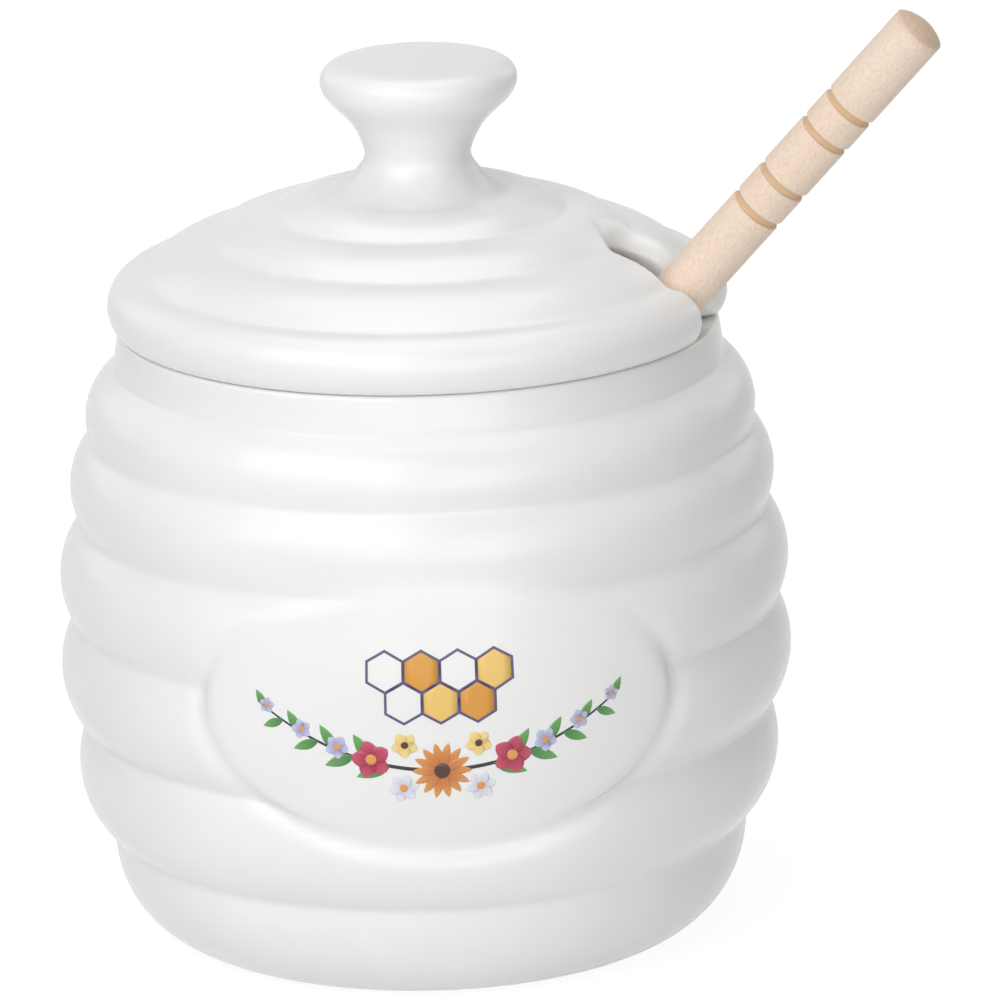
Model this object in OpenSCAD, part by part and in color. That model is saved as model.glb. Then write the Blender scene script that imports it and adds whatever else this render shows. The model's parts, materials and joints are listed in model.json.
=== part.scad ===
// Beehive honey pot in glazed ceramic: a ribbed pot with a smooth oval panel on its front,
// a ribbed lift-off lid with a knob and a notch in its rim, and a turned wooden dipper that
// leans on the pot's rim and comes out through the notch.
// Origin at the middle of the foot, on the table. +Z is up and the oval panel faces -Y.

/* [Pot] */
// Largest diameter, measured over the ribs
belly_d = 108; // [90:1:130]
// Height from the table to the flat top of the rim
pot_h = 91.6; // [80:0.2:110]
// Inside diameter of the mouth
mouth_d = 79.2; // [72:0.2:82]
// Thickness of the rim at its flat top
rim_t = 4.4; // [3.6:0.1:5]
// How much wider the neck is at its foot than at the rim
neck_flare = 0.9; // [0:0.1:1.5]
// Height of the plain neck band under the rim
neck_h = 7; // [5:0.1:9]
// Rounding of the rim's inner edge
rim_round = 1.4; // [0.8:0.1:2]
// Thickness of the side wall behind the joints of the ribs
wall_t = 4.2; // [3:0.1:5.5]
// How far each rib swells out from the line between its joints, as a share of its height
rib_swell = 0.18; // [0.1:0.01:0.22]
// How far the heel swells out between the lowest rib and the foot
heel_bulge = 3.6; // [2:0.1:5]
// Diameter of the foot
foot_d = 71; // [60:0.2:76]
// Depth of the recess inside the foot ring
foot_recess = 2; // [1:0.1:3]
// Width of the foot ring
foot_ring_w = 4.5; // [3:0.1:7]
// Thickness of the floor above the recess
floor_t = 4.6; // [3.5:0.1:6]
// Rounding of the hollow's corner between the floor and the wall
corner_round = 14; // [12.5:0.1:17]

/* [Oval panel] */
// Width of the oval, measured straight across
panel_w = 69; // [50:1:76]
// Height of the oval
panel_h = 42; // [30:1:50]
// Height of the oval's middle above the table
panel_z = 46.6; // [40:0.2:52]
// How far the panel stands out from the joints of the ribs at its middle
panel_rise = 2.5; // [1.5:0.1:3.5]

/* [Lid] */
// Diameter of the lid, measured over its rim bead
lid_d = 90.9; // [86:0.1:96]
// Height of the widest line of the rim bead above the seat
lid_bead_z = 3.5; // [2.5:0.1:5]
// Rounding of the rim bead
lid_bead_r = 4.75; // [3.5:0.05:6]
// Height of the dome from the seat to the root of the knob
lid_dome_h = 19.6; // [15:0.2:24]
// How far each ring of the dome swells out
lid_rib_bulge = 1.15; // [0.6:0.05:1.6]
// Thickness of the dome's wall
lid_t = 4; // [3:0.1:5]
// Depth of the locating ring that hangs in the mouth
lid_ring_h = 4; // [3:0.1:6]
// Thickness of the locating ring
lid_ring_t = 3; // [2:0.1:4]
// Clearance between the locating ring and the mouth, all round
lid_clear = 0.9; // [0.4:0.1:1.2]

/* [Knob] */
// Largest diameter of the knob
knob_d = 28.8; // [22:0.2:34]
// Diameter of the knob's neck
knob_neck_d = 15.2; // [11:0.2:19]
// Height of the knob from the root of its neck to its top
knob_h = 19.8; // [16:0.2:25]
// Thickness of the knob's head at its rounded edge
knob_edge_h = 5.6; // [4:0.1:7]
// Crown of the knob's top above its rounded edge
knob_crown = 0.4; // [0.1:0.1:1]

/* [Notch] */
// Clear width of the notch
notch_w = 10.8; // [9.6:0.1:12]
// Distance from the pot's axis to the closed end of the notch
notch_in = 29; // [26:0.2:30]
// Bearing of the notch and the dipper, clockwise from +X seen from above
notch_bearing = 20; // [0:1:40]

/* [Dipper] */
// Diameter of the handle
handle_d = 8; // [7:0.1:8.4]
// Overall length of the dipper
dipper_l = 173.6; // [155:0.2:190]
// Lean of the dipper from upright
dipper_lean = 41.6; // [40:0.2:43]
// Diameter of the grooved head
head_d = 20; // [16:0.5:22]
// Length of the grooved head
head_l = 35; // [28:1:38]
// Diameter of the head's core at the bottom of its grooves
head_core_d = 8; // [7:0.5:12]
// Number of discs on the head, with the rounded end as the first
head_discs = 6; // [5:1:7]
// Share of each disc's pitch that is wood
disc_share = 0.56; // [0.4:0.02:0.7]
// Rise of the handle's domed top end
handle_dome_h = 1.5; // [0.8:0.1:3.5]
// Width of each turned line on the handle
line_w = 1.2; // [0.6:0.1:1.6]
// Depth of each turned line
line_depth = 0.5; // [0.3:0.05:0.9]
// Distance of the first turned line from the top end
line_start = 19.6; // [14:0.2:26]
// Distance between the two lines of a pair
line_gap = 6.1; // [4:0.1:8]
// Distance from the first line of one pair to the first line of the next
line_pair_step = 16; // [12:0.2:20]
// Gap between the dipper and what it leans on
rest_gap = 0.25; // [0.1:0.05:0.4]

/* [Hidden] */
$fn = 96;
eps = 0.01;

belly_r = belly_d / 2;
mouth_r = mouth_d / 2;
rim_r = mouth_r + rim_t;
neck_r = rim_r + neck_flare;
foot_r = foot_d / 2;
shoulder_z = pot_h - neck_h;
floor_z = foot_recess + floor_t;

// Joints between the ribs from the heel to the neck, each as its share of the belly's
// radius and its share of the height up to the shoulder
joint_shares = [[0.868, 0.173], [0.933, 0.363], [0.958, 0.55], [0.933, 0.722], [0.902, 0.868]];
rib_joints = concat(
    [for (s = joint_shares) [belly_r * s[0], shoulder_z * s[1]]],
    [[neck_r - 0.4, shoulder_z]]);
heel = rib_joints[0];

// The joint at the middle of the belly, the panel's stand from the axis, and the radius of
// the panel's upright curve
waist_joint = rib_joints[2];
panel_r = waist_joint[0] + panel_rise;
panel_curve = 60;

lid_r = lid_d / 2;
ring_r = mouth_r - lid_clear;
dome_z = pot_h + lid_dome_h;
knob_neck_r = knob_neck_d / 2;
knob_r = knob_d / 2;
knob_top = dome_z + knob_h;
knob_edge_r = knob_edge_h / 2;

// Joints between the rings of the dome, each as its share of the lid's radius and its
// share of the dome's height
ring_shares = [[0.899, 0.39], [0.684, 0.675], [0.475, 0.845], [0.286, 1]];
dome_joints = [for (s = ring_shares) [lid_r * s[0], pot_h + lid_dome_h * s[1]]];

handle_r = handle_d / 2;
handle_dome_r = (handle_r * handle_r + handle_dome_h * handle_dome_h) / (2 * handle_dome_h);
head_r = head_d / 2;
core_r = head_core_d / 2;
disc_pitch = (head_l - head_r) / (head_discs - 1);

// The hollow's round corner meets the wall a little above the heel's joint
corner_turn = 12;
heel_in = [heel[0] - wall_t - 0.6, heel[1] + 1.1];
corner = [heel_in[0] - corner_round * cos(corner_turn), floor_z + corner_round];

// The dipper lies in the upright plane of its bearing, where a point is its distance
// from the pot's axis and its height. It leans on the round of the rim and its ball end
// nests in the hollow's round corner on the far side.
along = [sin(dipper_lean), cos(dipper_lean)];
across = [-cos(dipper_lean), sin(dipper_lean)];
rim_centre = [mouth_r + rim_round, pot_h - rim_round];
lean_point = rim_centre + across * (handle_r + rim_round + rest_gap);
far_corner = [-corner[0], corner[1]];
ball_reach = corner_round - head_r - rest_gap;
nearest = (far_corner - lean_point) * along;
aside = norm(far_corner - lean_point - along * nearest);
ball = lean_point + along * (nearest - sqrt(max(0, ball_reach * ball_reach - aside * aside)));

// Points of an arc from a to b that bulges to the right of that direction
function arc_points(a, b, bulge, n) =
    let (chord = norm(b - a),
         radius = (chord * chord / 4 + bulge * bulge) / (2 * abs(bulge)),
         out = [(b - a)[1], -(b - a)[0]] / chord * sign(bulge),
         centre = (a + b) / 2 + out * (abs(bulge) - radius),
         half = asin(chord / 2 / radius),
         mid = atan2(out[1], out[0]))
    [for (i = [0:n]) centre + radius * [cos(mid + sign(bulge) * half * (2 * i / n - 1)),
                                        sin(mid + sign(bulge) * half * (2 * i / n - 1))]];

// A full circle whose arc runs through a and b and swells out between them; a is below b
module swell(a, b, bulge) {
    chord = norm(b - a);
    radius = (chord * chord / 4 + bulge * bulge) / (2 * bulge);
    out = [(b - a)[1], -(b - a)[0]] / chord;
    translate((a + b) / 2 + out * (bulge - radius)) circle(r = radius);
}

// The right half of a profile between two heights
module band(z_low, z_high, r_max) {
    translate([0, z_low]) square([r_max, z_high - z_low]);
}

module pot_outline() {
    intersection() {
        union() {
            polygon(concat([[0, 0], [foot_r, 0]], rib_joints,
                           [[neck_r, shoulder_z], [rim_r, pot_h], [0, pot_h]]));
            swell([foot_r, 0], heel, heel_bulge);
            for (i = [0 : len(rib_joints) - 2])
                swell(rib_joints[i], rib_joints[i + 1], norm(rib_joints[i + 1] - rib_joints[i]) * rib_swell);
        }
        band(0, pot_h, belly_d);
    }
}

// The hollow: a plain mouth, one smooth belly curve and a round corner down to the floor
module pot_hollow() {
    mouth_low = [mouth_r, shoulder_z - 1];
    belly_in = waist_joint - [wall_t, 2.5];
    polygon(concat(
        [[0, floor_z]],
        [for (a = [-90 : 6 : -corner_turn]) corner + corner_round * [cos(a), sin(a)]],
        arc_points(corner + corner_round * [cos(corner_turn), -sin(corner_turn)], belly_in, 1.3, 8),
        arc_points(belly_in, mouth_low, 2.4, 12),
        [[mouth_r, pot_h + 1], [0, pot_h + 1]]));
}

// Rounds the rim's inner edge: the corner square less the round
module rim_edge_cut() {
    difference() {
        translate([mouth_r - 1, pot_h - rim_round]) square([1 + rim_round, rim_round + 1]);
        translate(rim_centre) circle(r = rim_round);
        translate([rim_centre[0] - eps, 0]) square([rim_t, rim_centre[1]]);
    }
}

// The oval: a smooth swelling of the belly, seen only inside an upright elliptic prism
module panel() {
    intersection() {
        rotate_extrude()
            intersection() {
                translate([panel_r - panel_curve, panel_z]) circle(r = panel_curve, $fn = 180);
                band(panel_z - panel_h / 2 - 1, panel_z + panel_h / 2 + 1, belly_d);
            }
        translate([0, 0, panel_z]) rotate([90, 0, 0])
            linear_extrude(height = belly_d)
                polygon([for (a = [0 : 6 : 354]) [panel_w / 2 * cos(a), panel_h / 2 * sin(a)]]);
    }
}

module pot() {
    color("white")
    difference() {
        union() {
            rotate_extrude() pot_outline();
            panel();
        }
        rotate_extrude() pot_hollow();
        rotate_extrude() rim_edge_cut();
        translate([0, 0, -1]) cylinder(h = foot_recess + 1, r = foot_r - foot_ring_w);
    }
}

module lid_outline() {
    intersection() {
        union() {
            polygon(concat([[0, pot_h], [dome_joints[0][0], pot_h]], dome_joints, [[0, dome_z]]));
            translate([lid_r - lid_bead_r, pot_h + lid_bead_z]) circle(r = lid_bead_r);
            for (i = [0 : len(dome_joints) - 2])
                swell(dome_joints[i], dome_joints[i + 1], lid_rib_bulge);
        }
        band(pot_h, knob_top, lid_d);
    }
}

// The knob: a hollow curve up from the dome, a waist, and a flat round head
module knob_outline() {
    root = [dome_joints[3][0] + 1.8, dome_z - 0.3];
    waist = [knob_neck_r, dome_z + knob_h * 0.27];
    under = [knob_r - knob_edge_r * 0.34, knob_top - knob_crown - knob_edge_h * 0.95];
    edge_top = [knob_r - knob_edge_r, knob_top - knob_crown];
    polygon(concat([[0, root[1]]],
                   arc_points(root, waist, -1.1, 8),
                   arc_points(waist, under, -1, 8),
                   [[knob_r - knob_edge_r, knob_top - knob_crown - knob_edge_h / 2]],
                   arc_points(edge_top, [0, knob_top], knob_crown / 3, 6)));
    translate([knob_r - knob_edge_r, knob_top - knob_crown - knob_edge_r]) circle(r = knob_edge_r);
}

// The hollow under the dome follows its joints one wall thickness inside
module lid_hollow() {
    ring_in = ring_r - lid_ring_t;
    dome_in = [dome_joints[1][0] - lid_t * 0.4, dome_joints[1][1] - lid_t];
    top_in = [dome_joints[3][0], dome_joints[3][1] - lid_t - 1.6];
    polygon(concat([[0, pot_h - lid_ring_h - 1], [ring_in, pot_h - lid_ring_h - 1],
                    [ring_in, pot_h + 1.2]],
                   arc_points([ring_in, pot_h + 1.2], dome_in, 0.8, 6),
                   arc_points(dome_in, top_in, 0.4, 4),
                   [[0, top_in[1] + 0.8]]));
}

// The notch: a round-ended slot that runs out through the rim bead and the locating ring
module notch() {
    rotate([0, 0, -notch_bearing])
        translate([notch_in + notch_w / 2, 0, pot_h - lid_ring_h - 1]) {
            cylinder(h = lid_ring_h + lid_dome_h + 2, r = notch_w / 2);
            translate([0, -notch_w / 2, 0])
                cube([lid_r, notch_w, lid_ring_h + lid_dome_h + 2]);
        }
}

module lid() {
    color("white")
    difference() {
        union() {
            rotate_extrude() lid_outline();
            rotate_extrude() knob_outline();
            translate([0, 0, pot_h - lid_ring_h]) cylinder(h = lid_ring_h + 1, r = ring_r);
        }
        rotate_extrude() lid_hollow();
        notch();
    }
}

// The dipper upright, with the middle of its ball end at the origin
module turned_dipper() {
    top = dipper_l - head_r;
    difference() {
        union() {
            sphere(r = head_r);
            cylinder(h = head_l - head_r, r = core_r);
            for (i = [1 : head_discs - 1])
                translate([0, 0, i * disc_pitch - disc_pitch * disc_share])
                    cylinder(h = disc_pitch * disc_share, r = head_r);
            cylinder(h = top - handle_dome_r, r = handle_r);
            rotate_extrude()
                intersection() {
                    band(top - handle_dome_r - 1, top, handle_r);
                    translate([0, top - handle_dome_r]) circle(r = handle_dome_r);
                }
        }
        // The ball end stops where its first groove starts
        rotate_extrude()
            translate([core_r, 0]) square([head_r, disc_pitch * (1 - disc_share)]);
        for (pair = [0, 1], line = [0, 1])
            translate([0, 0, top - line_start - pair * line_pair_step - line * line_gap])
                rotate_extrude()
                    translate([handle_r - line_depth, -line_w / 2]) square([line_depth + 1, line_w]);
    }
}

module dipper() {
    color("burlywood")
    rotate([0, 0, -notch_bearing])
        translate([ball[0], 0, ball[1]])
            rotate([0, dipper_lean, 0]) turned_dipper();
}

pot();
lid();
dipper();
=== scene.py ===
"""Looks of the beehive honey pot: glazed pot and lid, turned wooden dipper, white studio."""
import json
import math

import bmesh
import bpy
import numpy as np
from mathutils import Matrix, Vector


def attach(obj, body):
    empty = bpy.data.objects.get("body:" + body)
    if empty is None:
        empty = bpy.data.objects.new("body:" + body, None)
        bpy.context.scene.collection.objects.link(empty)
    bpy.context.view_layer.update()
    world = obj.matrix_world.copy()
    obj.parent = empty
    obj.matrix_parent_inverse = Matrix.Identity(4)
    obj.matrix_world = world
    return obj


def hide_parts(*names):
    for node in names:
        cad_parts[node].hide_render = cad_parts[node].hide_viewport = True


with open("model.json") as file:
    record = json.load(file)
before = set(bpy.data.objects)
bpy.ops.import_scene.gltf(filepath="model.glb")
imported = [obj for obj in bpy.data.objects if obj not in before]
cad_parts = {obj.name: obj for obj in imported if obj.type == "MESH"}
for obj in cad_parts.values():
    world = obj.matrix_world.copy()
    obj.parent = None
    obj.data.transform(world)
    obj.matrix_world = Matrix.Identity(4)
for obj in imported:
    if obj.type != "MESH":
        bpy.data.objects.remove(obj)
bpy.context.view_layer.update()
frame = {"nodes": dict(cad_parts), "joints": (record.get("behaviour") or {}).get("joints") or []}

MM = 0.001

# Camera: the photograph's long lens, its height above the table and its slight roll
PHOTO_PX = 1000
FOCAL_PX = 9146
CAMERA_DISTANCE = 1.35
CAMERA_ELEVATION = math.radians(16)
CAMERA_BEARING = math.radians(1.9)
CAMERA_ROLL = math.radians(1.5)
AIM_HEIGHT = 54 * MM
AIM_PX = (424.4, 566)
SENSOR_WIDTH = 36
FARTHEST_SEEN = 20

# Studio lamps: name, place in metres, size in metres, power in watts
LAMPS = (
    ("key_left", (-0.8, -1.0, 1.0), (1.5, 1.3), 14),
    ("front", (0.1, -1.45, 0.5), (1.4, 1.0), 5),
    ("front_right", (0.65, -1.3, 0.55), (1.0, 1.0), 2),
    ("low_front", (-0.2, -1.25, 0.09), (1.6, 0.16), 1),
    ("rim_right", (1.0, 1.0, 0.6), (0.8, 0.8), 1.6),
    ("rim_left", (-1.0, 1.0, 0.6), (0.8, 0.8), 0.9),
    ("top", (0, 0.1, 1.4), (1.2, 1.2), 7.7),
)
LAMP_TARGET = (0, 0, 0.06)
WORLD_LIGHT = 0.02
WORLD_SEEN = 1.0
FLOOR_GLOW = 1.14
FLOOR_GLOW_SHARE = 0.8

# Oval panel on the pot, as the solid has it but for the print's thickness. Its lower part is
# curved, and above PANEL_STRAIGHT it runs on straight. PANEL_REACH is how far it is looked for
PANEL_HALF_WIDTH = 34.5 * MM
PANEL_HALF_HEIGHT = 21 * MM
PANEL_HEIGHT = 46.6 * MM
PANEL_STANDOFF = 54.15 * MM
PANEL_CURVE = 60 * MM
PANEL_STRAIGHT = 8 * MM
PANEL_REACH = 28 * MM

# How softly the panel's edge fades, more so at its top, and the groove round the rest of it
PANEL_FADE = 1.7 * MM
PANEL_TOP_FADE = 4.5 * MM
PANEL_TOP_FROM = 4 * MM
PANEL_TOP_SPAN = 12 * MM
PANEL_GROOVE = 0.75 * MM
PANEL_GROOVE_WIDTH = 1.4 * MM

# Where the ribs' joints are on the wall, how much higher the glaze of the photographed pot puts
# them, and how much more they climb on its right side
RIB_HEIGHTS = np.array([0, 14.5, 30.7, 46.6, 61.1, 73.5, 84.5, 91.6]) * MM
RIB_LIFTS = np.array([0, 1.1, 1.5, 1.55, 1.8, 2.1, 1.35, 0]) * MM
RIB_CLIMBS = np.array([0, 1.2, 1.2, 1.3, 0.9, 0.4, 0.3, 0]) * MM
CLIMB_FROM = 15 * MM
CLIMB_SPAN = 25 * MM

# Notch in the lid: its walls stand a little nearer to the dipper where the glaze has built up, and
# the far one flares out through the rim
NOTCH_BEARING = math.radians(-20)
NOTCH_HALF_WIDTH = 5.4 * MM
NOTCH_NEAR = 4.8 * MM
NOTCH_FAR = 5.0 * MM
NOTCH_END = 29 * MM
NOTCH_FLARE = 5.0 * MM
FLARE_FROM = 38 * MM
FLARE_SPAN = 9 * MM
NOTCH_LIP_NEAR = 0.9 * MM
NOTCH_LIP_FAR = 2.4 * MM
LIP_FROM = -3 * MM
LIP_SPAN = 6 * MM
CUTTER_REACH = 60 * MM
CUTTER_HEIGHTS = (80 * MM, 118 * MM)
CUTTER_STEPS = 12
CUTTER_ARC_STEPS = 25

# The knob of the pot in the photograph stands a little to the right of the lid's middle
KNOB_LEAN = 0.033
LEAN_FROM = 98 * MM

# The knob's head, which the glaze rounds more than the rest, and what that takes off its width
KNOB_FROM = 121 * MM
KNOB_BLEND = 3 * MM
KNOB_SOFTNESS = 1.2 * MM
KNOB_GAIN = 0.018

# Where the dipper's turned lines and its end are along it, and how far off the photo has them
HANDLE_RADIUS = 4 * MM
TURNED_PLACES = np.array([100, 113.9, 120.2, 130.4, 136.8, 156.4]) * MM
TURNED_SHIFTS = np.array([0, 3.0, 2.7, 2.4, 1.8, -0.95]) * MM

# Where the dipper is coloured darker: painted shade in the turned lines of its handle, and the
# darker wood of its end grain
HANDLE_FROM = 45 * MM
HANDLE_END = 4 * MM
GROOVE_SHADE_FROM = 0.15 * MM
GROOVE_SHADE_BLEND = 0.3 * MM
END_GRAIN_DEPTH = 1.7 * MM
END_GRAIN_BLEND = 0.8 * MM

# How far glaze and sanding round the corners, and how fine the meshes are
GLAZE_SOFTNESS = 0.6 * MM
WOOD_SOFTNESS = 0.12 * MM
POT_TURNS = 480
LID_TURNS = 256
DIPPER_TURNS = 96
LID_VOXEL = 0.5 * MM

# For a section: how near points count as one, how near vertices are merged before the cut, and
# how near they count as on its plane
SAME_POINT = 0.0002 * MM
MERGE_DISTANCE = 1e-7
CUT_DISTANCE = 1e-8

# Inks of the print, how far each kind stands on the panel, and the garland's form in mm
VEIN, AMBER, HONEY = (0.115, 0.085, 0.20), (0.72, 0.33, 0.05), (0.86, 0.56, 0.16)
BARK, LEAF, LEAF_TIP = (0.035, 0.028, 0.028), (0.045, 0.20, 0.05), (0.16, 0.42, 0.12)
CRIMSON, ROSE, ORANGE = (0.33, 0.015, 0.055), (0.62, 0.09, 0.16), (0.50, 0.13, 0.03)
SUN, PALE_SUN, BROWN = (0.78, 0.34, 0.09), (0.86, 0.72, 0.35), (0.09, 0.035, 0.025)
LILAC, MIST, PEARL = (0.30, 0.31, 0.55), (0.60, 0.62, 0.80), (0.83, 0.82, 0.84)
STEM_LEVEL, LEAF_LEVEL, CELL_LEVEL = 0.02 * MM, 0.026 * MM, 0.034 * MM
BUD_LEVEL, BLOOM_LEVEL, DAISY_LEVEL = 0.038 * MM, 0.046 * MM, 0.058 * MM
GARLAND_HALF, GARLAND_LOW, GARLAND_RISE = 27, -7.5, 9.5
CELL_RADIUS, CELL_SPACING, CELLS_UP = 3.0, 3.05, 2.6


def axis_frame(direction):
    """A rotation whose Z axis is the given direction."""
    return direction.normalized().to_track_quat("Z", "Y").to_matrix().to_4x4()


def section(node, to_local, bearing=1.7):
    """Half of a node's outline, axis to axis, as (radius, height) points in to_local's axes."""
    mesh = bmesh.new()
    mesh.from_mesh(frame["nodes"][node].data)
    mesh.transform(Matrix.Rotation(-bearing, 4, "Z") @ to_local)
    bmesh.ops.remove_doubles(mesh, verts=mesh.verts, dist=MERGE_DISTANCE)
    for normal, one_side in (((1, 0, 0), True), ((0, 1, 0), False)):
        whole = mesh.verts[:] + mesh.edges[:] + mesh.faces[:]
        cut = bmesh.ops.bisect_plane(mesh, geom=whole, plane_co=(0, 0, 0), plane_no=normal,
                                     clear_inner=one_side, dist=CUT_DISTANCE)["geom_cut"]
    links = {}
    for edge in (e for e in cut if isinstance(e, bmesh.types.BMEdge)):
        a, b = ((round(v.co.z / SAME_POINT), round(v.co.x / SAME_POINT)) for v in edge.verts)
        if a != b:
            links.setdefault(a, set()).add(b)
            links.setdefault(b, set()).add(a)
    mesh.free()
    here = min(place for place in links if len(links[place]) == 1)
    chain = [here]
    while onward := links[here].difference(chain[-3:]):
        here = max(onward, key=lambda place: (len(links[place]), place))
        chain.append(here)
    return np.array(chain)[:, ::-1] * SAME_POINT


def resample(chain, step):
    """The same line with points at even steps along it."""
    length = np.concatenate([[0], np.cumsum(np.hypot(*np.diff(chain, axis=0).T))])
    at = np.linspace(0, length[-1], int(length[-1] / step) + 1)
    return np.column_stack([np.interp(at, length, chain[:, k]) for k in (0, 1)])


def soften(chain, radius, step=0.1 * MM):
    """Rounds a line's corners as a glaze or a sanding does, and keeps both its ends on the axis."""
    line = resample(chain, step)
    reach = int(3 * radius / step)
    weights = np.exp(-0.5 * (np.arange(-reach, reach + 1) * step / radius) ** 2)
    weights /= weights.sum()
    mirror = line * [-1, 1]
    padded = np.vstack([mirror[reach:0:-1], line, mirror[-2:-reach - 2:-1]])
    smooth = np.column_stack([np.convolve(padded[:, k], weights, mode="valid") for k in (0, 1)])
    smooth[0, 0] = smooth[-1, 0] = 0
    return smooth


def thin_out(line, max_turn, max_step):
    """Keeps the points that a line needs to turn and move by about the limits from each."""
    step = np.diff(line, axis=0)
    heading = np.unwrap(np.arctan2(step[:, 1], step[:, 0]))
    keep, turned, moved = [0], heading[0], 0.0
    for i in range(1, len(line) - 1):
        moved += math.hypot(*step[i - 1])
        if abs(heading[i] - turned) >= max_turn or moved >= max_step:
            keep.append(i)
            turned, moved = heading[i], 0.0
    return line[keep + [len(line) - 1]]


def new_object(name, verts, faces):
    mesh = bpy.data.meshes.new(name)
    mesh.from_pydata(verts, [], faces)
    mesh.validate()
    mesh.update()
    mesh.polygons.foreach_set("use_smooth", np.ones(len(mesh.polygons), bool))
    piece = bpy.data.objects.new(name, mesh)
    bpy.context.scene.collection.objects.link(piece)
    return piece


def lathe(name, line, turns, place=Matrix.Identity(4), reshape=None):
    """Turns a line from axis to axis into a closed piece. reshape moves the grid's points."""
    inner = line[1:-1]
    angle = np.arange(turns) * 2 * math.pi / turns
    radius = np.repeat(inner[:, :1], turns, axis=1)
    height = np.repeat(inner[:, 1:], turns, axis=1)
    if reshape:
        radius, height = reshape(radius, height, angle[None, :])
    grid = np.stack([radius * np.cos(angle), radius * np.sin(angle), height], axis=-1)
    verts = np.vstack([grid.reshape(-1, 3), [[0, 0, line[0, 1]], [0, 0, line[-1, 1]]]])
    rows = len(inner)
    faces = []
    for i in range(rows - 1):
        a = i * turns
        faces += [(a + j, a + (j + 1) % turns, a + turns + (j + 1) % turns, a + turns + j)
                  for j in range(turns)]
    first, last, end = rows * turns, rows * turns + 1, (rows - 1) * turns
    faces += [(first, (j + 1) % turns, j) for j in range(turns)]
    faces += [(last, end + j, end + (j + 1) % turns) for j in range(turns)]
    matrix = np.array(place)
    verts = verts @ matrix[:3, :3].T + matrix[:3, 3]
    return new_object(name, verts.tolist(), faces)


def add_attribute(piece, name, values):
    layer = piece.data.attributes.new(name, "FLOAT", "POINT")
    layer.data.foreach_set("value", np.asarray(values, np.float32))


def smooth_step(x):
    x = np.clip(x, 0, 1)
    return x * x * (3 - 2 * x)


def panel_radius(height):
    """How far the panel's surface stands from the axis. High up it runs straight to a rib."""
    up = height - PANEL_HEIGHT
    bent = np.minimum(up, PANEL_STRAIGHT)
    slope = PANEL_STRAIGHT / math.sqrt(PANEL_CURVE ** 2 - PANEL_STRAIGHT ** 2)
    curve = np.sqrt(PANEL_CURVE ** 2 - bent ** 2)
    return PANEL_STANDOFF - PANEL_CURVE + curve - slope * (up - bent)


def beyond_oval(x, height):
    """About how far a point lies outside the oval's edge, negative inside it."""
    u, v = x / PANEL_HALF_WIDTH, (height - PANEL_HEIGHT) / PANEL_HALF_HEIGHT
    e = np.maximum(np.hypot(u, v), 1e-6)
    slope = np.hypot(u / PANEL_HALF_WIDTH, v / PANEL_HALF_HEIGHT) / e
    return (e - 1) / slope


def climbing(height, rounds=6):
    """The outer wall's heights made to climb steadily, where the ribs' joints turn back."""
    top = np.argmax(height)
    outer = height[:top + 1]
    from_below = np.maximum.accumulate(outer)
    from_above = np.minimum.accumulate(outer[::-1])[::-1]
    steady = height.copy()
    steady[:top + 1] = (from_below + from_above) / 2
    for _ in range(rounds):
        steady[1:top] = (steady[:top - 1] + 2 * steady[1:top] + steady[2:top + 1]) / 4
    return steady


def raised(height, across):
    """Heights on the wall with the ribs where the photographed pot has them."""
    climb = np.interp(height, RIB_HEIGHTS, RIB_CLIMBS)
    climb = climb * smooth_step((across - CLIMB_FROM) / CLIMB_SPAN)
    return height + np.interp(height, RIB_HEIGHTS, RIB_LIFTS) + climb


def with_panel(radius, height, angle):
    """Blends the ribs into the smooth oval, with the soft groove that the glaze leaves round it."""
    outer_wall = np.arange(len(radius))[:, None] < np.argmax(height[:, 0])
    across = radius * np.cos(angle)
    steady = raised(climbing(height[:, 0])[:, None], across)
    height = np.where(outer_wall, raised(height, across), height)
    near = np.abs(height - PANEL_HEIGHT) < PANEL_REACH
    in_reach = near & (np.sin(angle) < 0) & outer_wall
    steady = np.clip(steady, PANEL_HEIGHT - PANEL_REACH, PANEL_HEIGHT + PANEL_REACH)
    beyond = beyond_oval(panel_radius(steady) * np.cos(angle), steady)
    at_top = smooth_step((steady - PANEL_HEIGHT - PANEL_TOP_FROM) / PANEL_TOP_SPAN)
    fade = PANEL_FADE + (PANEL_TOP_FADE - PANEL_FADE) * at_top
    inside = np.where(in_reach, smooth_step(0.5 - beyond / (2 * fade)), 0)
    groove = PANEL_GROOVE * (1 - at_top) * np.exp(-(beyond / PANEL_GROOVE_WIDTH) ** 2)
    radius = radius + inside * (panel_radius(steady) - radius) - np.where(in_reach, groove, 0)
    return radius, height + inside * (steady - height)


def make_pot():
    line = soften(section("pot", Matrix.Identity(4)), GLAZE_SOFTNESS)
    line = thin_out(line, math.radians(4), 1 * MM)
    return lathe("glazed_pot", line, POT_TURNS, reshape=with_panel)


def on_panel(place, lift):
    """Points of the print's flat drawing, in mm from the panel's middle, as points on the pot."""
    height = PANEL_HEIGHT + place[..., 1] * MM
    radius = panel_radius(height) + lift
    bearing = place[..., 0] * MM / PANEL_STANDOFF
    return np.stack([radius * np.sin(bearing), -radius * np.cos(bearing), height], axis=-1)


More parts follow.
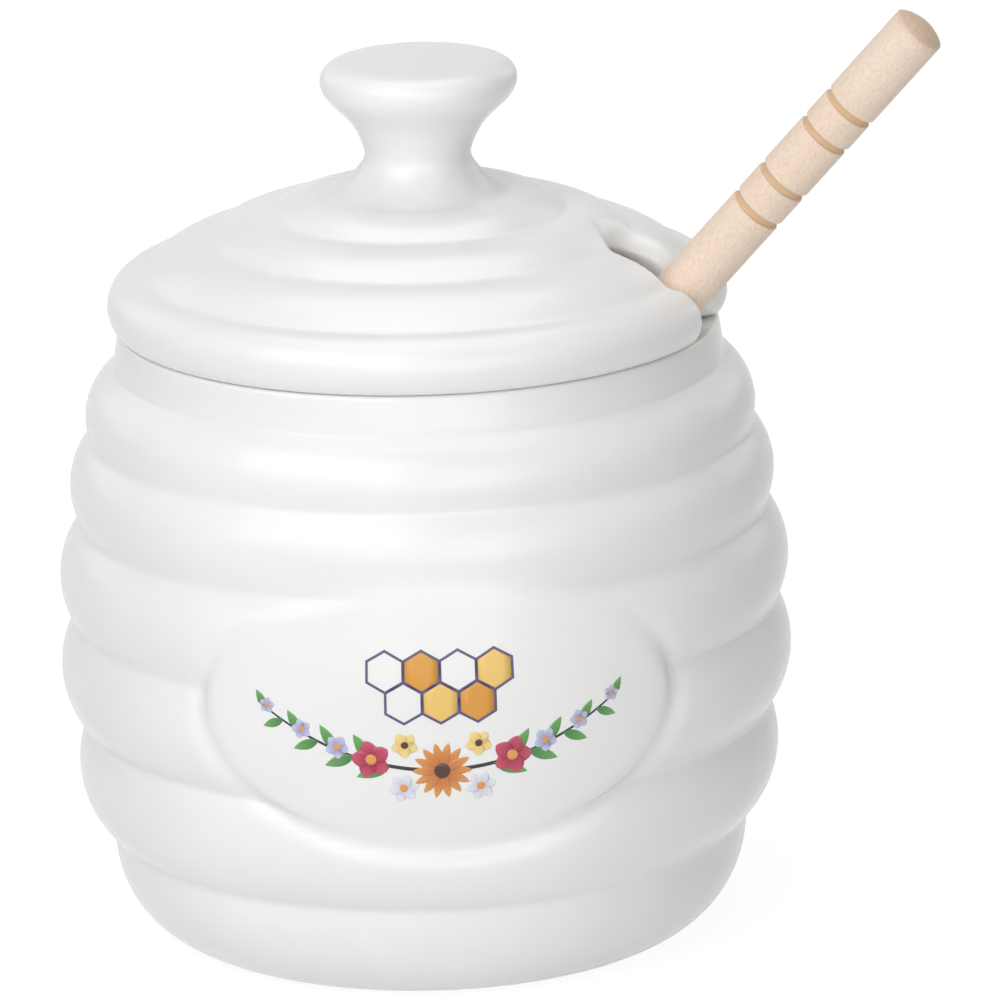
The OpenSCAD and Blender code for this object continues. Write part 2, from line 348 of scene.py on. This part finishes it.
class Print:
    """A transfer print: thin closed slabs of ink that follow the panel, drawn in mm."""
    COLUMNS = 5
    DEPTH = 0.05 * MM
    OVERLAP = 0.004 * MM
    THINNEST = 0.03
    DISC_START = 0.03
    LINE_HALF_WIDTH = 0.19

    def __init__(self):
        self.verts, self.faces, self.inks = [], [], []

    def ribbon(self, path, half_widths, level, inks, closed=False):
        """A band of ink along a path, with a half width and a colour at each of its points."""
        path, rows, columns = np.asarray(path, float), len(path), self.COLUMNS
        if closed:
            ahead = np.roll(path, -1, 0) - np.roll(path, 1, 0)
        else:
            ahead = np.gradient(path, axis=0)
        ahead /= np.linalg.norm(ahead, axis=1, keepdims=True)
        side = ahead[:, None, ::-1] * [-1, 1]
        across = np.linspace(-1, 1, columns)[None, :, None] * np.reshape(half_widths, (-1, 1, 1))
        flat = path[:, None, :] + side * across
        first, below, end = len(self.verts), rows * columns, columns - 1
        for lift in (level, level - self.DEPTH):
            self.verts += on_panel(flat, lift).reshape(-1, 3).tolist()
            self.inks += np.repeat(np.broadcast_to(inks, (rows, 3)), columns, axis=0).tolist()
        for i in range(rows if closed else rows - 1):
            a, b = first + i * columns, first + (i + 1) % rows * columns
            for j in range(end):
                self.faces.append((a + j, b + j, b + j + 1, a + j + 1))
                self.faces.append(tuple(below + k for k in (a + j + 1, b + j + 1, b + j, a + j)))
            self.faces.append((below + a, below + b, b, a))
            self.faces.append((a + end, b + end, below + b + end, below + a + end))
        if not closed:
            last = first + (rows - 1) * columns
            for j in range(end):
                a, b = first + j, last + j
                self.faces.append((a + 1, below + a + 1, below + a, a))
                self.faces.append((b, below + b, below + b + 1, b + 1))

    def blade(self, foot, angle, length, width, level, root, tip, fullness=0.8):
        """A leaf or petal from its foot outward."""
        t = np.linspace(0, 1, 12)[:, None]
        path = foot + t * length * np.array([math.cos(angle), math.sin(angle)])
        half = width / 2 * np.sin(math.pi * t ** 0.85)[:, 0] ** fullness
        inks = np.asarray(root) * (1 - t) + np.asarray(tip) * t
        self.ribbon(path, np.maximum(half, self.THINNEST), level, inks)

    def disc(self, middle, radius, level, ink):
        turn = np.linspace(self.DISC_START, math.pi - self.DISC_START, 13)
        path = np.asarray(middle) + np.column_stack([-np.cos(turn), 0 * turn]) * radius
        self.ribbon(path, np.sin(turn) * radius, level, ink)

    def flower(self, middle, radius, petals, level, root, tip, heart, turn=0.0):
        """A ring of petals round a disc, every second petal a little above its neighbours."""
        width = 2.3 * math.pi * radius * 0.62 / petals
        for k in range(petals):
            angle = turn + 2 * math.pi * k / petals
            height = level + self.OVERLAP * (k % 2)
            self.blade(np.asarray(middle, float), angle, radius, width, height, root, tip, 0.62)
        self.disc(middle, radius * 0.27, level + 3 * self.OVERLAP, heart)

    def cell(self, middle, outline, filling=None):
        """One honeycomb cell, upright on its corner."""
        corner = np.radians(np.arange(6) * 60 + 30)
        round_middle = np.column_stack([np.cos(corner), np.sin(corner)])
        corners = np.asarray(middle) + CELL_RADIUS * round_middle
        if filling:
            widest = 0.93 * CELL_RADIUS * math.cos(math.pi / 6)
            half = widest * np.array([0.02, 0.5, 1, 1, 1, 0.5, 0.02])
            up = CELL_RADIUS * np.array([-1, -0.75, -0.5, 0, 0.5, 0.75, 1])
            path = np.asarray(middle) + np.column_stack([0 * up, up])
            self.ribbon(path, half, CELL_LEVEL - 1.5 * self.OVERLAP, filling)
        t = np.array([0, 1, 2])[None, :, None] / 3
        path = corners[:, None, :] * (1 - t) + np.roll(corners, -1, 0)[:, None, :] * t
        widths = self.LINE_HALF_WIDTH * np.tile([1 / math.cos(math.pi / 6), 1, 1], 6)
        self.ribbon(path.reshape(-1, 2), widths, CELL_LEVEL, outline, closed=True)


def garland(x, above=0.0):
    """A point on the garland's stem, or above it, that far to the right of the panel's middle."""
    return np.array([x, GARLAND_LOW + above + GARLAND_RISE * (x / GARLAND_HALF) ** 2])


def draw_comb(p):
    """Seven cells in two rows, some of them filled."""
    step = CELL_SPACING * math.sqrt(3)
    for column, row, filling in ((-1, 0, None), (0, 0, HONEY), (1, 0, AMBER), (-0.5, 1, AMBER),
                                 (0.5, 1, None), (1.5, 1, HONEY), (-1.5, 1, None)):
        p.cell((column * step, CELLS_UP + row * 1.5 * CELL_SPACING), VEIN, filling)


def draw_stem(p):
    """The garland's stem, thickest in the middle, with leaves on both its sides."""
    x = np.linspace(-GARLAND_HALF, GARLAND_HALF, 55)
    p.ribbon(garland(x).T, 0.12 + 0.2 * (1 - np.abs(x) / GARLAND_HALF), STEM_LEVEL, BARK)
    for k in range(8):
        for side in (-1, 1):
            angle = math.radians(38 if k % 2 else -40) + 0.35
            if side < 0:
                angle = math.pi - angle
            foot = garland(side * (7.5 + 2.6 * k))
            p.blade(foot, angle, 5.2 - 0.33 * k, 1.9 - 0.1 * k, LEAF_LEVEL, LEAF, LEAF_TIP)


def draw_flowers(p):
    """Small flowers out along the garland, larger ones nearer to its middle, and a daisy there."""
    for side in (-1, 1):
        for x, size in ((25.5, 1.2), (20.3, 1.5), (15.1, 1.8)):
            middle = garland(side * x, above=0.5)
            p.flower(middle, size, 5, BUD_LEVEL, LILAC, MIST, SUN, turn=0.4 * x)
        p.flower((side * 10.2, -5.8), 2.9, 5, BLOOM_LEVEL, CRIMSON, ROSE, SUN, turn=0.3 + side)
        p.flower((side * 5.6, -10.2), 2.3, 6, BLOOM_LEVEL, MIST, PEARL, SUN, turn=0.2)
        p.flower((side * 5.3, -3.6), 2.0, 5, BLOOM_LEVEL, HONEY, PALE_SUN, BROWN, turn=0.9)
    p.flower((0, -7.6), 4.3, 14, DAISY_LEVEL, ORANGE, SUN, BROWN)


def make_print():
    """A garland of flowers and leaves under a few honeycomb cells."""
    p = Print()
    draw_comb(p)
    draw_stem(p)
    draw_flowers(p)
    piece = new_object("panel_print", p.verts, p.faces)
    ink = piece.data.attributes.new("ink", "FLOAT_COLOR", "POINT")
    colours = np.column_stack([p.inks, np.ones(len(p.inks))]).astype(np.float32)
    ink.data.foreach_set("color", colours.ravel())
    return piece


def line_distance(line, points, chunk=20000):
    """Signed distance from (radius, height) points to a closed line, negative inside."""
    a, b = line[:-1], line[1:]
    d = b - a
    squared = (d ** 2).sum(1)
    result = np.empty(len(points))
    for s in range(0, len(points), chunk):
        p = points[s:s + chunk, None, :]
        t = np.clip(((p - a) * d).sum(2) / squared, 0, 1)
        gap = np.sqrt((((a + t[..., None] * d) - p) ** 2).sum(2)).min(1)
        crosses = (a[:, 1] > p[..., 1]) != (b[:, 1] > p[..., 1])
        rise = np.where(d[:, 1] == 0, 1e-12, d[:, 1])
        left = p[..., 0] < a[:, 0] + (p[..., 1] - a[:, 1]) / rise * d[:, 0]
        inside = (crosses & left).sum(1) % 2 == 1
        result[s:s + chunk] = np.where(inside, -gap, gap)
    return result


class ProfileField:
    """A revolved line's signed distance, looked up on a fine grid."""
    CELL = 0.2 * MM
    MARGIN = 2 * MM

    def __init__(self, line):
        self.low = np.array([-1 * MM, line[:, 1].min() - self.MARGIN])
        high = np.array([line[:, 0].max() + self.MARGIN, line[:, 1].max() + self.MARGIN])
        self.shape = np.ceil((high - self.low) / self.CELL).astype(int) + 1
        r = self.low[0] + np.arange(self.shape[0]) * self.CELL
        z = self.low[1] + np.arange(self.shape[1]) * self.CELL
        points = np.stack(np.meshgrid(np.abs(r), z, indexing="ij"), axis=-1).reshape(-1, 2)
        self.grid = line_distance(line, points).reshape(self.shape)

    def __call__(self, points):
        rz = np.column_stack([np.hypot(points[:, 0], points[:, 1]), points[:, 2]])
        at = np.clip((rz - self.low) / self.CELL, 0, self.shape - 1.001)
        i, j = at.astype(int).T
        f, h = (at % 1).T
        g = self.grid
        near = g[i, j] * (1 - h) + g[i, j + 1] * h
        far = g[i + 1, j] * (1 - h) + g[i + 1, j + 1] * h
        return near * (1 - f) + far * f


def notch_half_width(along, aside):
    """How far the notch's wall stands from its middle: the far wall flares out through the rim."""
    far = NOTCH_FAR + NOTCH_FLARE * smooth_step((along - FLARE_FROM) / FLARE_SPAN)
    return np.where(aside < 0, NOTCH_NEAR, far)


def notch_distance(points):
    """About the distance to the notch's walls, negative inside it, and how round its lip is."""
    cosine, sine = math.cos(NOTCH_BEARING), math.sin(NOTCH_BEARING)
    along = points[:, 0] * cosine + points[:, 1] * sine
    aside = -points[:, 0] * sine + points[:, 1] * cosine
    short = np.minimum(along - (NOTCH_END + NOTCH_HALF_WIDTH), 0)
    spread = aside * NOTCH_HALF_WIDTH / notch_half_width(along, aside)
    to_far = smooth_step((aside - LIP_FROM) / LIP_SPAN)
    lip = NOTCH_LIP_NEAR + (NOTCH_LIP_FAR - NOTCH_LIP_NEAR) * to_far
    return np.hypot(short, spread) - NOTCH_HALF_WIDTH, lip


def smooth_max(a, b, reach):
    """The larger of two distances, rounded where they are within reach of each other."""
    near = np.maximum(reach - np.abs(a - b), 0) / reach
    return np.maximum(a, b) + near ** 2 * reach / 4


def settle(piece, field, rounds=5, probe=0.05 * MM, least_slope=0.2, longest=0.6 * MM):
    """Moves a piece's points onto the surface where field is zero."""
    mesh = piece.data
    co = np.empty(len(mesh.vertices) * 3)
    mesh.vertices.foreach_get("co", co)
    co = co.reshape(-1, 3)
    for _ in range(rounds):
        value = field(co)
        slope = np.column_stack([(field(co + step) - field(co - step)) / (2 * probe)
                                 for step in np.eye(3) * probe])
        size = np.maximum((slope ** 2).sum(1), least_slope)
        move = -(value / size)[:, None] * slope
        far = np.linalg.norm(move, axis=1, keepdims=True)
        co += move * np.minimum(1, longest / np.maximum(far, 1e-12))
    mesh.vertices.foreach_set("co", co.ravel())
    mesh.update()


def apply_modifiers(piece):
    depsgraph = bpy.context.evaluated_depsgraph_get()
    mesh = bpy.data.meshes.new_from_object(piece.evaluated_get(depsgraph))
    piece.modifiers.clear()
    old = piece.data
    piece.data = mesh
    bpy.data.meshes.remove(old)


def remesh(piece, voxel):
    changer = piece.modifiers.new("remesh", "REMESH")
    changer.mode = "VOXEL"
    changer.voxel_size = voxel
    changer.use_smooth_shade = True
    apply_modifiers(piece)


def cut_away(piece, cutter):
    cut = piece.modifiers.new("notch", "BOOLEAN")
    cut.object = cutter
    cut.solver = "EXACT"
    apply_modifiers(piece)
    bpy.data.objects.remove(cutter)


def notch_cutter():
    """A tall stadium that cuts the notch, with its far wall flared."""
    turn = np.linspace(math.pi / 2, 3 * math.pi / 2, CUTTER_ARC_STEPS)
    along = NOTCH_END + NOTCH_HALF_WIDTH * (1 + np.cos(turn))
    outward = np.linspace(FLARE_FROM, CUTTER_REACH, CUTTER_STEPS)
    along = np.concatenate([outward[::-1], along, outward])
    aside = np.concatenate([np.ones(CUTTER_STEPS), np.sin(turn), -np.ones(CUTTER_STEPS)])
    outline = list(zip(along, aside * notch_half_width(along, aside)))
    n = len(outline)
    turn = Matrix.Rotation(NOTCH_BEARING, 3, "Z")
    verts = [turn @ Vector((x, y, z)) for z in CUTTER_HEIGHTS for x, y in outline]
    faces = [tuple(reversed(range(n))), tuple(range(n, 2 * n))]
    faces += [(i, (i + 1) % n, n + (i + 1) % n, n + i) for i in range(n)]
    return new_object("notch_cutter", verts, faces)


def lid_line():
    """The lid's outline under its glaze, which rounds the knob's head more than the rest."""
    outline = section("lid", Matrix.Identity(4), bearing=2.3)
    line = soften(outline, GLAZE_SOFTNESS)
    round_line = soften(outline, KNOB_SOFTNESS) * [1 + KNOB_GAIN, 1]
    return line + smooth_step((line[:, 1:] - KNOB_FROM) / KNOB_BLEND) * (round_line - line)


def lean(lid):
    """Leans the lid's dome and knob to the right, as in the photograph."""
    for vertex in lid.data.vertices:
        vertex.co.x += KNOB_LEAN * max(0, vertex.co.z - LEAN_FROM)


def make_lid():
    line = lid_line()
    piece = lathe("glazed_lid", thin_out(line, math.radians(5), 1.5 * MM), LID_TURNS)
    cut_away(piece, notch_cutter())
    remesh(piece, LID_VOXEL)
    body = ProfileField(thin_out(line, math.radians(1.5), 0.5 * MM))

    def notched(points):
        notch, lip = notch_distance(points)
        return smooth_max(body(points), -notch, 2 * lip)

    settle(piece, notched)
    lean(piece)
    return piece


def dipper_place():
    """The dipper's axis, from the direction that it is drawn along and the middle of its solid."""
    pull = next(j for j in frame["joints"] if j["child"] == "dipper")
    turn = axis_frame(Vector(pull["axis"]))
    back = turn.inverted()
    local = np.array([back @ v.co for v in frame["nodes"]["dipper"].data.vertices])
    middle = (local.max(0) + local.min(0)) / 2
    return turn @ Matrix.Translation((middle[0], middle[1], 0))


def make_dipper(place):
    line = soften(section("dipper", place.inverted()), WOOD_SOFTNESS, 0.05 * MM)
    line = thin_out(line, math.radians(8), 2 * MM)
    line[:, 1] += np.interp(line[:, 1], TURNED_PLACES, TURNED_SHIFTS)
    piece = lathe("turned_dipper", line, DIPPER_TURNS, place)
    radius, along = line[1:-1].T
    low, high = along.min(), along.max()
    on_handle = (along > low + HANDLE_FROM) & (along < high - HANDLE_END)
    # How far a point on the handle lies down in a turned line, which is where the painted shade
    # goes
    depth = HANDLE_RADIUS - GROOVE_SHADE_FROM - radius
    painted_groove_shade = np.where(on_handle, smooth_step(depth / GROOVE_SHADE_BLEND), 0)
    end_grain = smooth_step((along - (high - END_GRAIN_DEPTH)) / END_GRAIN_BLEND)
    for name, rows, poles in (("groove", painted_groove_shade, [0, 0]), ("end_grain", end_grain, [0, 1])):
        add_attribute(piece, name, np.append(np.repeat(rows, DIPPER_TURNS), poles))
    return piece


class Nodes:
    """Short names for making a material's nodes."""

    def __init__(self, name):
        self.material = bpy.data.materials.new(name)
        self.material.use_nodes = True
        self.tree = self.material.node_tree
        self.shader = self.tree.nodes["Principled BSDF"]

    def add(self, kind, settings=(), **inputs):
        node = self.tree.nodes.new(kind)
        for key, value in dict(settings).items():
            setattr(node, key, value)
        for key, value in inputs.items():
            self.set(node.inputs[key.replace("_", " ")], value)
        return node

    def set(self, socket, value):
        if isinstance(value, bpy.types.NodeSocket):
            self.tree.links.new(value, socket)
        else:
            socket.default_value = value

    def place(self):
        return self.add("ShaderNodeTexCoord").outputs["Object"]

    def noise(self, vector, scale, detail=3.0):
        node = self.add("ShaderNodeTexNoise", Vector=vector, Scale=scale, Detail=detail)
        return node.outputs["Fac"]

    def ramp(self, fac, stops):
        node = self.add("ShaderNodeValToRGB", Fac=fac)
        ramp = node.color_ramp
        while len(ramp.elements) < len(stops):
            ramp.elements.new(0.5)
        for element, (place, colour) in zip(ramp.elements, stops):
            element.position = place
            element.color = (*colour, 1)
        return node.outputs["Color"]

    def attribute(self, name, output="Fac"):
        return self.add("ShaderNodeAttribute", {"attribute_name": name}).outputs[output]

    def blend(self, kind, fac, a, b):
        node = self.add("ShaderNodeMix", {"data_type": "RGBA", "blend_type": kind})
        for index, value in ((0, fac), (6, a), (7, b)):
            self.set(node.inputs[index], value)
        return node.outputs[2]

    def spread(self, fac, low, high):
        node = self.add("ShaderNodeMapRange", Value=fac, To_Min=low, To_Max=high)
        return node.outputs["Result"]

    def bump(self, height, distance, strength=1.0):
        node = self.add("ShaderNodeBump", Height=height, Distance=distance, Strength=strength)
        return node.outputs["Normal"]

    def finish(self, **inputs):
        """Sets the shader's own sockets."""
        for key, value in inputs.items():
            self.set(self.shader.inputs[key.replace("_", " ")], value)
        return self.material


def glaze_material():
    n = Nodes("white_glaze")
    where = n.place()
    white = n.ramp(n.noise(where, 45.0), [(0.3, (0.86, 0.86, 0.855)), (0.7, (0.89, 0.89, 0.885))])
    ripple = n.bump(n.noise(where, 260.0, 2.0), 0.02 * MM, 0.5)
    return n.finish(Base_Color=white, Roughness=n.spread(n.noise(where, 120.0), 0.2, 0.28),
                    IOR=1.5, Normal=ripple)


def ink_material():
    n = Nodes("glazed_ink")
    return n.finish(Base_Color=n.attribute("ink", "Color"), Roughness=0.25)


def wood_material(place):
    n = Nodes("pale_beech")
    upright = n.add("ShaderNodeMapping", Vector=n.place(),
                    Rotation=tuple(place.inverted().to_euler())).outputs["Vector"]
    fibre = n.add("ShaderNodeMapping", Vector=upright, Scale=(1, 1, 0.5)).outputs["Vector"]
    pores = n.noise(fibre, 3000.0, 4.0)
    fine = n.ramp(pores, [(0.32, (0.79, 0.63, 0.505)), (0.62, (0.885, 0.73, 0.605))])
    warm = n.ramp(n.noise(fibre, 160.0), [(0.35, (0.985, 0.965, 0.94)), (0.65, (1, 1, 1))])
    grain = n.ramp(pores, [(0.3, (0.60, 0.44, 0.31)), (0.6, (0.72, 0.55, 0.41))])
    face = n.blend("MULTIPLY", 1.0, fine, warm)
    # The turned lines are painted darker here: painted shade in the grooves
    face = n.blend("MIX", n.attribute("groove"), face, (0.68, 0.47, 0.29, 1))
    face = n.blend("MIX", n.attribute("end_grain"), face, grain)
    return n.finish(Base_Color=face, Roughness=n.spread(pores, 0.5, 0.65),
                    Normal=n.bump(pores, 0.05 * MM, 0.5))


def dress(piece, body, material, node=None):
    piece.data.materials.clear()
    piece.data.materials.append(material)
    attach(piece, body)
    if node:
        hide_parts(node)


def make_camera():
    flat = math.cos(CAMERA_ELEVATION)
    back = Vector((-math.sin(CAMERA_BEARING) * flat, -math.cos(CAMERA_BEARING) * flat,
                   math.sin(CAMERA_ELEVATION)))
    data = bpy.data.cameras.new("camera")
    data.sensor_width = SENSOR_WIDTH
    data.lens = SENSOR_WIDTH * FOCAL_PX / PHOTO_PX
    data.shift_x = (PHOTO_PX / 2 - AIM_PX[0]) / PHOTO_PX
    data.shift_y = (AIM_PX[1] - PHOTO_PX / 2) / PHOTO_PX
    data.clip_end = FARTHEST_SEEN
    camera = bpy.data.objects.new("camera", data)
    bpy.context.scene.collection.objects.link(camera)
    place = Matrix.Translation(Vector((0, 0, AIM_HEIGHT)) + back * CAMERA_DISTANCE)
    turn = (-back).to_track_quat("-Z", "Y").to_matrix().to_4x4()
    camera.matrix_world = place @ turn @ Matrix.Rotation(-CAMERA_ROLL, 4, "Z")
    bpy.context.scene.camera = camera


def soft_box(name, place, size, power):
    data = bpy.data.lights.new(name, "AREA")
    data.shape = "RECTANGLE"
    data.size, data.size_y = size
    data.energy = power
    lamp = bpy.data.objects.new(name, data)
    bpy.context.scene.collection.objects.link(lamp)
    lamp.location = place
    lamp.rotation_euler = (Vector(LAMP_TARGET) - lamp.location).to_track_quat("-Z", "Y").to_euler()


def seen_directly(tree):
    """One where the camera sees a surface, or sees it in a gloss or through glass."""
    path = tree.nodes.new("ShaderNodeLightPath")
    seen = path.outputs["Is Camera Ray"]
    for ray in ("Is Glossy Ray", "Is Transmission Ray"):
        either = tree.nodes.new("ShaderNodeMath")
        either.operation = "MAXIMUM"
        tree.links.new(seen, either.inputs[0])
        tree.links.new(path.outputs[ray], either.inputs[1])
        seen = either.outputs[0]
    return seen


def make_world():
    """A faint light all round, which is white where it is seen."""
    world = bpy.data.worlds.new("studio")
    bpy.context.scene.world = world
    world.use_nodes = True
    tree = world.node_tree
    background = tree.nodes["Background"]
    background.inputs["Color"].default_value = (1, 1, 1, 1)
    level = tree.nodes.new("ShaderNodeMapRange")
    level.inputs["To Min"].default_value = WORLD_LIGHT
    level.inputs["To Max"].default_value = WORLD_SEEN
    tree.links.new(seen_directly(tree), level.inputs["Value"])
    tree.links.new(level.outputs["Result"], background.inputs["Strength"])


def make_floor():
    """A pale floor that is white where it is seen and keeps the object's shadow."""
    corners = [(-4, -4, 0), (4, -4, 0), (4, 6, 0), (-4, 6, 0)]
    floor = new_object("floor", corners, [(0, 1, 2, 3)])
    n = Nodes("white_floor")
    material = n.finish(Base_Color=(0.85, 0.85, 0.85, 1), Roughness=0.9)
    glow = n.add("ShaderNodeEmission", Strength=FLOOR_GLOW)
    share = n.add("ShaderNodeMath", {"operation": "MULTIPLY"})
    n.set(share.inputs[0], seen_directly(n.tree))
    n.set(share.inputs[1], FLOOR_GLOW_SHARE)
    mix = n.add("ShaderNodeMixShader", Fac=share.outputs[0])
    n.set(mix.inputs[1], n.shader.outputs["BSDF"])
    n.set(mix.inputs[2], glow.outputs["Emission"])
    n.set(n.tree.nodes["Material Output"].inputs["Surface"], mix.outputs["Shader"])
    floor.data.materials.append(material)


make_camera()
for lamp in LAMPS:
    soft_box(*lamp)
make_world()
make_floor()
glaze = glaze_material()
dress(make_pot(), "pot", glaze, "pot")
dress(make_print(), "pot", ink_material())
dress(make_lid(), "lid", glaze, "lid")
axis = dipper_place()
dress(make_dipper(axis), "dipper", wood_material(axis), "dipper")
bpy.context.scene.view_settings.view_transform = "Standard"
